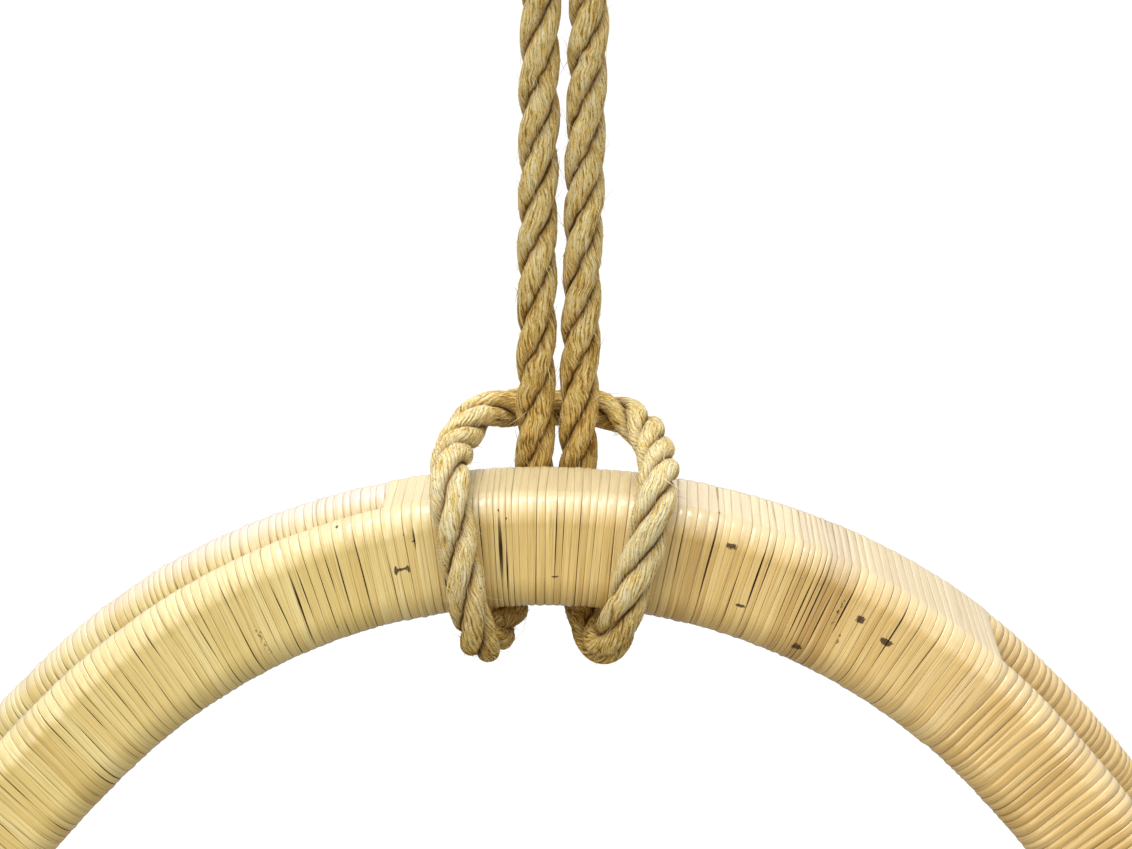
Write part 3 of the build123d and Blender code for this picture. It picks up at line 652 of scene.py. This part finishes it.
def binding_surface():
    """The same for the hull of both hoops' poles, from the middle of its underside round the front."""
    centre_z = CROWN_Z + CROWN_C[1]
    corners = [(FRONT, -POLE_OFFSET), (FRONT, POLE_OFFSET), (REAR, POLE_OFFSET), (REAR, -POLE_OFFSET)]
    recipe = [("edge", 3, 0.5), ("edge", 3, 0.75)]
    # How many points there are on each corner and on the edge after it: the front, the top, the back.
    for k, (bends, flats) in enumerate(((8, 22), (14, 8), (8, 5))):
        recipe += [("corner", k, i / bends) for i in range(bends)]
        recipe += [("edge", k, i / flats) for i in range(flats)]
    recipe += [("corner", 3, i / 7) for i in range(7)] + [("edge", 3, 0.0), ("edge", 3, 0.25)]

    def surface(heading, lift):
        heading, lift = np.broadcast_arrays(heading, lift)
        h = np.radians(heading)
        spots = []
        for hoop, outward in corners:
            p = hoop.at(*flat_point(heading, outward))
            away = p[..., 0] * np.sin(h) + (p[..., 2] - centre_z) * np.cos(h)
            spots.append(np.stack([p[..., 1], away], -1))
        edges = [spots[(k + 1) % 4] - spots[k] for k in range(4)]
        angles = [np.arctan2(e[..., 0], -e[..., 1]) for e in edges]     # of each edge's outward normal
        flat = np.empty(heading.shape + (2,))
        for c, (kind, k, share) in enumerate(recipe):
            if kind == "edge":
                a = angles[k][..., c]
                spot = spots[k][..., c, :] + share * edges[k][..., c, :]
            else:
                before, after = angles[k - 1][..., c], angles[k][..., c]
                a = before - np.mod(before - after, 2 * math.pi) * share
                spot = spots[k][..., c, :]
            reach = BINDING_FACE + lift[..., c]
            flat[..., c, 0] = spot[..., 0] + reach * np.cos(a)
            flat[..., c, 1] = spot[..., 1] + reach * np.sin(a)
        return np.stack([flat[..., 1] * np.sin(h), flat[..., 0], centre_z + flat[..., 1] * np.cos(h)], -1)

    probe = surface(np.full((1, len(recipe)), 10.0), np.zeros((1, len(recipe))))[0]
    arch = [1.0 if kind == "corner" else 0.7 * (k == 1) for kind, k, _ in recipe]
    return surface, around(probe), np.array(arch)


def around(ring):
    """How far each point of a ring is round it, and last the whole way round."""
    return np.concatenate([[0], np.cumsum(np.linalg.norm(np.roll(ring, -1, axis=0) - ring, axis=1))])


def strip_headings(first, last, own, narrow):
    """Headings of the joins between one turn of cane and the next, no two turns alike."""
    joins = [first]
    while joins[-1] < last:
        width = STRIP * np.clip(own.normal(1.0, 0.17), 0.62, 1.42)
        if any(low < joins[-1] < high for low, high in narrow):
            width *= 0.66
        joins.append(joins[-1] + math.degrees(width / (radius_at(joins[-1]) + POLE_OFFSET + CANE_FACE)))
    joins = np.array(joins)
    return first + (joins - first) * (last - first) / (joins[-1] - first)


# Across a turn of cane: where each row of points is, its height in mm, and how much it is in the gap.
FINE_TURN = [("floor", -0.45, 1.0), ("edge", -0.03, 0.12), ("brow", 0.02, 0.0), ("middle", 0.07, 0.0),
             ("far brow", 0.02, 0.0), ("far edge", -0.03, 0.12), ("far floor", -0.45, 1.0)]
PLAIN_TURN = [FINE_TURN[i] for i in (0, 1, 3, 5)]


def stained_at(stains, share, heading, whole_way):
    """How strongly each point is stained, from its share of the way round and its heading."""
    stained = np.zeros_like(heading)
    for at, height, wide, tall, strength, *slant in stains:
        along = (share - height) * whole_way * 1000
        aside = np.radians(heading - at) * CROWN_R / MM - sum(slant) * along
        stained = np.maximum(stained, strength * np.exp(-((aside / wide) ** 4 + (along / tall) ** 4)))
    return stained


def wound_faces(rows, per, columns):
    """Faces of a winding with some rows to each turn, where a turn's end meets the next turn's start."""
    index = np.arange(rows * columns).reshape(rows, columns)
    left, right = index[:-per], np.concatenate([index[:-per, 1:], index[per:, :1]], 1)
    return np.stack([left[:-1], right[:-1], right[1:], left[1:]], -1).reshape(-1, 4)


def wound_cane(name, section, first, last, rows, seed, slits=(), stains=(), tones=(), narrow=(), olive=0.0,
               blush=0.0):
    """One continuous strip of cane wound round a section, each turn crowned, with a dark gap beside it.

    A slit is (heading, where it starts and ends as shares of the way round, width in mm). A stain is
    (heading, share of the way round, half its width and half its length in mm, strength, slant if any).
    A tone is (heading, heading, how much darker the turns between them are). Turns between the headings
    of a narrow stretch are two thirds as wide."""
    surface, run, arch = section
    own = np.random.default_rng(seed)
    joins = strip_headings(first, last, own, narrow)
    turns, columns = len(joins) - 1, len(run) - 1
    v = run[:-1] / run[-1]

    def each_turn(mean, spread):
        return own.normal(mean, spread, (turns + 1, 1))

    def ripple(spread, slowest, shift, count):
        """Waves round every turn, each of its own height."""
        return sum(each_turn(0, spread) * np.sin(2 * math.pi * (k + slowest) * v + shift * k)
                   for k in range(count))

    step = np.diff(joins, append=2 * joins[-1] - joins[-2])[:, None]
    drift = own.normal(0, 0.05, (turns + 1, 4))
    sway = sum(drift[:, k, None] * np.sin(math.pi * (k + 1) * v) for k in range(4))
    climb = joins[:, None] + step * (v + sway)
    half_gap = (0.05 + 0.10 * blush + np.abs(each_turn(0.03, 0.07))) * MM
    waver = ripple(0.30, 1, 1, 5)
    half_gap = half_gap * (1 + waver).clip(0.3, 2.6)
    dark = 0.58 + 0.30 * each_turn(0, 1) + 0.35 * waver
    dark = dark.clip(0.28 + 0.25 * blush, 1.0 - 0.3 * blush)
    deep = np.ones_like(dark)
    for heading, start, end, width in slits:
        middle = int(np.argmin(np.abs(v - (start + end) / 2)))
        join = int(np.argmin(np.abs(climb[:, middle] - heading)))
        opening = np.sin(math.pi * np.clip((v - start) / (end - start), 0, 1)) ** 0.6
        half_gap[join] += 0.36 * width * MM * opening
        dark[join] = np.maximum(dark[join], opening)
        deep[join] += 1.2 * opening
    tone = np.clip(own.normal(0.42, 0.22, turns + 1), 0, 1)
    for low, high, shift in tones:
        tone[(joins > low) & (joins < high)] += shift
        dark[(joins > low) & (joins < high)] += 1.2 * max(shift - 0.2, 0.0)
    dark = dark.clip(0, 1)
    outer = radius_at(joins)[:, None] + POLE_OFFSET + CANE_FACE
    share = (np.degrees(half_gap / outer) / np.abs(step)).clip(0.006, 0.34)
    after = np.concatenate([climb[1:], climb[-1:] + step[-1:]])
    next_share, next_dark, next_deep = (np.concatenate([a[1:], a[-1:]]) for a in (share, dark, deep))
    crown = (1 + 0.5 * each_turn(0, 1)).clip(0.2, 2.2) * (1 + (2.6 + 2.2 * blush) * arch)
    raised = (each_turn(0, 0.04) + ripple(0.035, 2, 2, 4)) * MM
    tilt = ripple(0.035, 0.5, 1, 5) * MM
    tone_next = np.append(tone[1:], tone[-1])[:, None]
    parts = {"heading": [], "lift": [], "gap": [], "across": []}
    for at, height, depth in rows:
        far = at.startswith("far")
        beside, seam, sunk = (next_share, next_dark, next_deep) if far else (share, dark, deep)
        insets = {"floor": 0.78 * beside, "edge": beside, "brow": beside + 0.075}
        inset = insets.get(at.split()[-1], 0.5)
        across = 1 - inset if far else inset
        bow = crown if height > 0 else (0.25 + 0.75 * seam) * sunk if depth == 1 else 1.0
        cup = raised + tilt * (2 * across - 1) if depth < 1 else 0.0
        parts["heading"].append(climb + (after - climb) * across)
        parts["lift"].append(height * MM * bow + cup + 0 * climb)
        parts["gap"].append(depth * seam + 0 * climb)
        parts["across"].append((across - 0.5) * STRIP * 1000 + 0 * climb)
    per = len(rows)
    parts = {key: np.stack(value, 1)[:turns].reshape(turns * per, columns) for key, value in parts.items()}
    shade = (tone[:, None] * (1 - v) + tone_next * v)[:turns].repeat(per, axis=0)
    points = surface(parts["heading"], parts["lift"])
    turn = np.repeat(np.arange(turns), per)[:, None]
    length = (turn + v) * run[-1] * 1000
    # How much each point faces up, for the painted light on top; twice as strong on the rear hoop.
    facing = (surface(parts["heading"], parts["lift"] + MM) - points)[..., 2] / MM
    warm = np.clip(0.42 + points[..., 0] / 0.36 - olive, 0, 1)
    top = np.clip((facing - 0.25) / 0.6, 0, 1) * (1 + blush)
    cane = np.stack([length, parts["across"], 0 * length], -1)
    mesh = mesh_of(name, points, wound_faces(turns * per, per, columns), CANE, cane=cane, tone=shade,
                   gap=parts["gap"], warm=warm, stain=stained_at(stains, v, parts["heading"], run[-1]),
                   top=top, blush=blush + 0 * length)
    return link(name, mesh, "chair")


# What the cane shows near the crown: headings, and shares of the way round the section.
FRONT_SLITS = [
    (-23.4, 0.30, 0.62, 0.9), (-22.1, 0.40, 0.60, 0.9), (-16.7, 0.36, 0.68, 0.5), (-19.0, 0.37, 0.64, 0.6),
    (-24.7, 0.34, 0.58, 0.6), (-28.6, 0.29, 0.54, 0.5), (-31.5, 0.31, 0.52, 0.4), (-20.6, 0.33, 0.5, 0.4),
]
FRONT_STAINS = [
    (-27.4, 0.42, 2.1, 13.0, 0.36), (-17.9, 0.694, 1.6, 1.0, 0.60), (-27.9, 0.618, 1.8, 0.9, 0.60),
    (-20.4, 0.36, 2.6, 2.2, 0.36),
]
BINDING_SLITS = [
    (-4.5, 0.20, 0.36, 2.0), (-4.1, 0.19, 0.28, 0.8), (-0.1, 0.22, 0.39, 0.6), (-12.1, 0.30, 0.35, 0.8),
    (17.4, 0.23, 0.35, 0.7), (24.0, 0.20, 0.33, 0.9), (25.3, 0.25, 0.34, 0.7), (22.2, 0.19, 0.33, 0.7),
    (10.9, 0.24, 0.36, 0.4), (-9.6, 0.2, 0.4, 0.5), (-7.6, 0.30, 0.52, 0.7), (5.2, 0.20, 0.36, 0.4),
]
H_MARK = [(-13.85, 0.269, 0.8, 2.6, 0.74), (-12.75, 0.267, 0.8, 2.2, 0.72), (-13.3, 0.268, 2.4, 0.9, 0.70)]
BINDING_STAINS = [
    *H_MARK, (14.8, 0.340, 3.2, 2.0, 0.60), (17.0, 0.228, 2.8, 1.1, 0.80), (23.2, 0.191, 3.0, 1.1, 0.76),
    (27.1, 0.300, 2.6, 2.6, 0.60), (30.0, 0.286, 3.4, 1.8, 0.72), (25.2, 0.290, 0.9, 12.0, 0.46),
    (0.1, 0.222, 2.6, 0.7, 0.62), (-4.3, 0.354, 0.45, 3.4, 0.80, -0.75), (16.6, 0.36, 1.0, 7.0, 0.40),
    (26.3, 0.24, 1.4, 6.0, 0.42), (13.4, 0.42, 1.2, 2.0, 0.46), (-12.1, 0.328, 0.45, 3.6, 0.80, -1.0),
]
# The darker turns between headings -8 and 9, in the crown's middle, are painted shade.
BINDING_TONES = [
    (11.0, 20.0, 0.18), (20.0, 25.5, 0.50), (25.5, 32.0, 0.12), (-8.0, 9.0, 0.20), (9.0, 11.0, -0.15),
    (32.0, 40.0, -0.08),
]
NEAR_LEFT, FAR_LEFT = -62.0, 298.7     # headings where the fine cane begins and the plain cane ends
UNDER_BINDING = 2.0                    # how far the hoops' own cane goes on under the binding
near_end, far_start = BINDING_LEFT + UNDER_BINDING, BINDING_RIGHT - UNDER_BINDING
front_near = wound_cane("front_cane_crown", hoop_surface(FRONT, True), NEAR_LEFT, near_end, FINE_TURN, 11,
                        FRONT_SLITS, FRONT_STAINS, olive=0.15)
rear_near = wound_cane("rear_cane_crown", hoop_surface(REAR, True), NEAR_LEFT, near_end, FINE_TURN, 23,
                       tones=[(-62, -12, -0.3)], blush=1.0)
wound_cane("front_cane_hoop", hoop_surface(FRONT, False), far_start, FAR_LEFT, PLAIN_TURN, 12)
wound_cane("rear_cane_hoop", hoop_surface(REAR, False), far_start, FAR_LEFT, PLAIN_TURN, 24)
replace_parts(front_near, "front_hoop_wrap")
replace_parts(rear_near, "rear_hoop_wrap")
binding = wound_cane("crown_cane_binding", binding_surface(), BINDING_LEFT, BINDING_RIGHT, FINE_TURN, 31,
                     BINDING_SLITS, BINDING_STAINS, BINDING_TONES, narrow=[(-10.5, -3.5), (20.0, 24.0)])
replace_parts(binding, "crown_binding")


# ---------------------------------------------------------------- rattan rods of the seat and back
def rod_mesh(name, start, end, radius, seed):
    """A rattan rod with its growth nodes, slightly crooked, its ends rounded over."""
    own = np.random.default_rng(seed)
    start, end = np.asarray(start, float), np.asarray(end, float)
    length = np.linalg.norm(end - start)
    along = (end - start) / length
    side = np.cross(along, (0.3, 0.2, 1.0) if abs(along[2]) < 0.8 else (1.0, 0.2, 0.1))
    side /= np.linalg.norm(side)
    other = np.cross(along, side)
    rows, columns = max(12, int(length / (4 * MM))), 20
    inner = np.linspace(0.8 * MM, length - 0.8 * MM, rows)
    s = np.concatenate([[0.0, 0.15 * MM], inner, [length - 0.15 * MM, length]])
    nodes = np.arange(own.uniform(0.03, 0.12), length, own.uniform(0.13, 0.19))
    bulge = sum((np.exp(-((s - n) / (1.8 * MM)) ** 2) for n in nodes), np.zeros_like(s))
    ring = sum((np.exp(-((s - n - 1.2 * MM) / (0.9 * MM)) ** 2) for n in nodes), np.zeros_like(s))
    thick = radius * (0.965 + 0.012 * wave(s, 0.4, 0.05, 4, seed) + 0.045 * bulge)
    thick[0] = thick[-1] = 0.02 * radius
    thick[1], thick[-2] = 0.85 * radius, 0.85 * radius
    fade = np.sin(math.pi * s / length)
    bend = 0.35 * MM * fade
    middle = (start + s[:, None] * along + (bend * wave(s, 0.5, 0.15, 3, seed + 1))[:, None] * side
              + (bend * wave(s, 0.5, 0.15, 3, seed + 2))[:, None] * other)
    a = np.linspace(0, 2 * math.pi, columns, endpoint=False)
    spoke = np.cos(a)[:, None] * side + np.sin(a)[:, None] * other
    points = middle[:, None] + thick[:, None, None] * spoke[None]
    grain = np.stack(np.broadcast_arrays(radius * 1000 * np.cos(a), radius * 1000 * np.sin(a),
                                         s[:, None] * 1000 + own.uniform(0, 5000)), -1)
    shape = points.shape[:2]
    mesh = mesh_of(name, points, grid_faces(*shape), ROD, grain=grain, tone=np.full(shape, own.random()),
                   node=np.broadcast_to(ring[:, None], shape))
    return link(name, mesh, "chair")


def box_middle(node):
    """The lowest and highest corner of a CAD node, and the middle between them."""
    low, high = (np.array(corner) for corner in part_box(node))
    return low, high, (low + high) / 2


STAVES = sorted(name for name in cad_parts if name.startswith("seat_stave"))
RAILS = sorted(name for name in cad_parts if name.startswith("back_rail"))
SPINDLES = sorted(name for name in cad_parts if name.startswith("back_spindle"))
for number, name in enumerate(STAVES):
    heading = STAVE_FIRST + (STAVE_LAST - STAVE_FIRST) * number / (len(STAVES) - 1)
    ends = [hoop.at(*flat_point(heading)) for hoop in (FRONT, REAR)]
    run = (ends[1] - ends[0]) / np.linalg.norm(ends[1] - ends[0])
    ends = [ends[0] + run * STAVE_INSET, ends[1] - run * STAVE_INSET]
    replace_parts(rod_mesh(f"rattan_{name}", *ends, STAVE_R, 100 + number), name)
for number, name in enumerate(RAILS):
    low, high, middle = box_middle(name)
    left, right = (low[0], *middle[1:]), (high[0], *middle[1:])
    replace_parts(rod_mesh(f"rattan_{name}", left, right, RAIL_R, 200 + number), name)
for number, name in enumerate(SPINDLES):
    low, high, middle = box_middle(name)
    back, down = SPINDLE_R * REAR.up[2], SPINDLE_R * abs(REAR.up[1])
    top = np.array([middle[0], low[1] + back, high[2] - down])
    foot = np.array([middle[0], high[1] - back, low[2] + down])
    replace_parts(rod_mesh(f"rattan_{name}", foot, top, SPINDLE_R, 300 + number), name)


# ---------------------------------------------------------------- CAD parts that keep their shape
def finish_node(node, material):
    """Gives a CAD node one of the materials above."""
    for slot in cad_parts[node].material_slots:
        slot.material = material


for node in ("ceiling_plate", "swivel_housing", "swivel_eye", "swivel_nut", "snap_hook", "snap_hook_gate",
             "gate_pin", "rope_thimble"):
    finish_node(node, STEEL)
finish_node("thrust_washer", BRASS)
for node in ("stave_nails", "rail_nails", "spindle_nails"):
    finish_node(node, NAIL)
for node in ("front_outer_pole", "front_inner_pole", "rear_outer_pole", "rear_inner_pole", "crown_packing"):
    finish_node(node, CORE)


# ---------------------------------------------------------------- camera, floor and light
def look_along(pitch, roll):
    """A camera's turn: pitched down and rolled, looking towards +Y."""
    p, r = math.radians(pitch), math.radians(roll)
    look = Vector((0, math.cos(p), -math.sin(p)))
    right = math.cos(r) * Vector((1, 0, 0)) + math.sin(r) * Vector((0, math.sin(p), math.cos(p)))
    up = -math.sin(r) * Vector((1, 0, 0)) + math.cos(r) * Vector((0, math.sin(p), math.cos(p)))
    return Matrix((right, up, -look)).transposed().to_4x4()


CAMERA_PLACE, CAMERA_PITCH, CAMERA_ROLL = (4.6 * MM, -1453.3 * MM, CROWN_Z + 446.9 * MM), 16.5, 1.1
lens = bpy.data.cameras.new("camera")
lens.lens = 95.4
camera = bpy.data.objects.new("camera", lens)
camera.matrix_world = Matrix.Translation(CAMERA_PLACE) @ look_along(CAMERA_PITCH, CAMERA_ROLL)
bpy.context.scene.collection.objects.link(camera)
bpy.context.scene.camera = camera

FLOOR_REACH, FLOOR_DROP = 22.0, 0.30
floor_z = CAD_LOW[2] - FLOOR_DROP
corners = ((-1, -1), (1, -1), (1, 1), (-1, 1))
floor_corners = [(x * FLOOR_REACH, y * FLOOR_REACH, floor_z) for x, y in corners]
floor = link("floor", mesh_of("floor", floor_corners, [(0, 1, 2, 3)], floor_material()), None)
floor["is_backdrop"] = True


CROWN = Vector((0.0, -0.05, CROWN_Z))


def softbox(name, place, size, power):
    """A rectangular lamp aimed at the crown."""
    data = bpy.data.lights.new(name, "AREA")
    data.shape, data.energy = "RECTANGLE", power
    data.size, data.size_y = size
    lamp = bpy.data.objects.new(name, data)
    lamp.location = place
    lamp.rotation_euler = (CROWN - Vector(place)).to_track_quat("-Z", "Y").to_euler()
    lamp.visible_camera = False
    bpy.context.scene.collection.objects.link(lamp)


softbox("key", (-0.15, 0.20, CROWN_Z + 1.5), (1.1, 0.6), 18)
softbox("left", (-1.4, -1.8, CROWN_Z + 0.7), (1.4, 1.4), 14.5)
softbox("right", (1.6, -1.9, CROWN_Z + 0.9), (1.2, 1.2), 8)
softbox("back", (0.25, 1.7, CROWN_Z + 0.40), (0.9, 0.25), 0.45)
sun = bpy.data.lights.new("sky", "SUN")
sun.energy, sun.angle = 0.95, math.radians(40)
lamp = bpy.data.objects.new("sky", sun)
lamp.rotation_euler = (math.radians(22), math.radians(-12), 0)
bpy.context.scene.collection.objects.link(lamp)


def studio_world():
    """White above, dimmer towards and below the horizon, so that undersides keep their shade."""
    world = bpy.data.worlds.new("studio")
    world.use_nodes = True
    nodes, links = world.node_tree.nodes, world.node_tree.links
    where, axes = nodes.new("ShaderNodeTexCoord"), nodes.new("ShaderNodeSeparateXYZ")
    level = nodes.new("ShaderNodeMapRange")
    links.new(where.outputs["Generated"], axes.inputs[0])
    links.new(axes.outputs["Z"], level.inputs["Value"])
    for socket, value in (("From Min", -0.6), ("From Max", 0.9), ("To Min", 0.36), ("To Max", 0.92)):
        level.inputs[socket].default_value = value
    links.new(level.outputs[0], nodes["Background"].inputs["Strength"])
    nodes["Background"].inputs["Color"].default_value = (1, 1, 1, 1)
    return world


bpy.context.scene.world = studio_world()
floor.visible_diffuse = False
floor.visible_glossy = False
bpy.context.scene.view_settings.view_transform = "Standard"

low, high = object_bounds()
